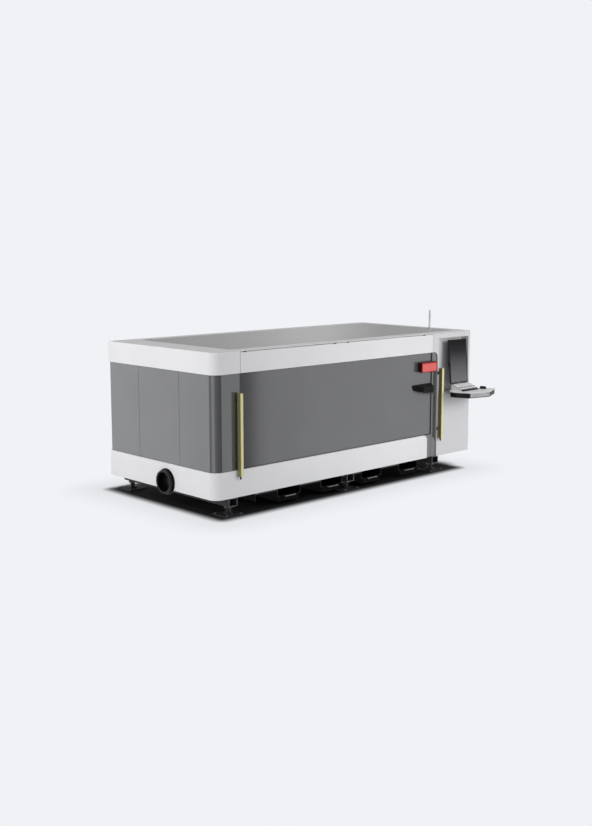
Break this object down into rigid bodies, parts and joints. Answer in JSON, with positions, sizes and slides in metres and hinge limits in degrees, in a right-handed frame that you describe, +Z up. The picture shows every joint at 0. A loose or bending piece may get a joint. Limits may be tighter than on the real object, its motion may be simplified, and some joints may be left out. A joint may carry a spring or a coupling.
{
  "type": "enclosed fiber laser cutting machine",
  "caption": "Fully enclosed sheet-metal laser cutting machine with a flip-up front door, gantry and cutting head over a slatted table, slag drawers, operator console and light curtains.",
  "frame": {"origin": "centre of the bounding box in plan, on the floor under the foot plates", "axes": "+X along the machine from the exhaust end to the console end, +Y from the door to the rear, +Z up"},
  "size_m": [4.922, 2.745, 2.23],
  "materials": {
    "white_paint": "satin white powder coat",
    "grey_paint": "glossy metallic grey paint",
    "roof_grey": "satin grey paint",
    "frame_paint": "light grey structural paint",
    "bed_paint": "dark grey machine enamel",
    "zinc_steel": "zinc plated",
    "bright_steel": "ground steel",
    "mild_steel": "hot rolled, scorched",
    "galvanised": "galvanised sheet",
    "black_metal": "satin black paint",
    "black_plastic": "matte black moulding",
    "white_plastic": "white moulded keys",
    "screen_glass": "dark glossy screen",
    "curtain_yellow": "pale yellow extrusion",
    "dark_window": "dark infrared window",
    "red_lens": "translucent red diffuser",
    "dark_red": "dark red housing",
    "grey_rubber": "soft grey edge",
    "aluminium": "milled",
    "copper_alloy": "turned",
    "lamp_grey": "frosted lamp column"
  },
  "bodies": {
    "machine_body": {"foot_plates": "zinc_steel", "jack_screws": "zinc_steel", "jack_nuts": "zinc_steel", "cross_tubes": "frame_paint", "bed_beams": "bed_paint", "bed_rails": "bright_steel", "enclosure_frame": "frame_paint", "lower_skirt": "white_paint", "corner_panel": "grey_paint", "end_panel_middle": "grey_paint", "end_panel_rear": "grey_paint", "rear_panels": "grey_paint", "right_end_panels": "grey_paint", "right_pillar": "grey_paint", "skirt_end_panel": "grey_paint", "top_frame": "white_paint", "roof_panel": "roof_grey", "bulkhead": "frame_paint", "console_cabinet": "white_paint", "monitor_housing": "black_plastic", "monitor_screen": "screen_glass", "monitor_arm": "black_metal", "keyboard_tray": "white_paint", "tray_pan": "black_metal", "tray_bumper": "grey_rubber", "keyboard": "white_plastic", "wrist_rest": "black_plastic", "mouse": "black_plastic", "light_curtains": "curtain_yellow", "curtain_lenses": "dark_window", "curtain_brackets": "black_metal", "curtain_plugs": "black_plastic", "exhaust_collar": "black_metal", "signal_lamp": "lamp_grey", "table_frame": "bed_paint", "slats": "mild_steel", "slag_chutes": "galvanised", "drawer_runners": "frame_paint", "laser_source": "frame_paint", "hinge_leaves": "zinc_steel", "hinge_pins": "bright_steel"},
    "door": {"door_panel": "grey_paint", "door_header": "white_paint", "door_liner": "galvanised", "lamp_box": "dark_red", "lamp_lens": "red_lens", "door_grip": "black_plastic", "door_hinge_leaves": "zinc_steel"},
    "gantry": {"gantry_beam": "aluminium", "end_carriages": "bed_paint", "drive_units": "black_metal", "cross_rails": "bright_steel"},
    "head_carriage": {"head_carriage": "aluminium", "lift_tower": "aluminium"},
    "cutting_head": {"cutting_head": "aluminium", "nozzle": "copper_alloy"},
    "slag_drawer_1": {"slag_drawer_1": "frame_paint"},
    "slag_drawer_2": {"slag_drawer_2": "frame_paint"},
    "slag_drawer_3": {"slag_drawer_3": "frame_paint"},
    "slag_drawer_4": {"slag_drawer_4": "frame_paint"}
  },
  "joints": [
    {"name": "door_hinge", "type": "hinge", "parent": "machine_body", "child": "door", "pos_m": [-0.24002, -0.8225, 1.951], "axis": [-1, 0, 0], "range_deg": [0, 85]},
    {"name": "gantry_travel", "type": "slide", "parent": "machine_body", "child": "gantry", "axis": [1, 0, 0], "range_m": [0, 3.15]},
    {"name": "head_travel", "type": "slide", "parent": "gantry", "child": "head_carriage", "axis": [0, -1, 0], "range_m": [0, 1.5]},
    {"name": "head_lift", "type": "slide", "parent": "head_carriage", "child": "cutting_head", "axis": [0, 0, -1], "range_m": [0, 0.12]},
    {"name": "drawer_slide_1", "type": "slide", "parent": "machine_body", "child": "slag_drawer_1", "axis": [0, -1, 0], "range_m": [0, 1.5]},
    {"name": "drawer_slide_2", "type": "slide", "parent": "machine_body", "child": "slag_drawer_2", "axis": [0, -1, 0], "range_m": [0, 1.5]},
    {"name": "drawer_slide_3", "type": "slide", "parent": "machine_body", "child": "slag_drawer_3", "axis": [0, -1, 0], "range_m": [0, 1.5]},
    {"name": "drawer_slide_4", "type": "slide", "parent": "machine_body", "child": "slag_drawer_4", "axis": [0, -1, 0], "range_m": [0, 1.5]}
  ]
}
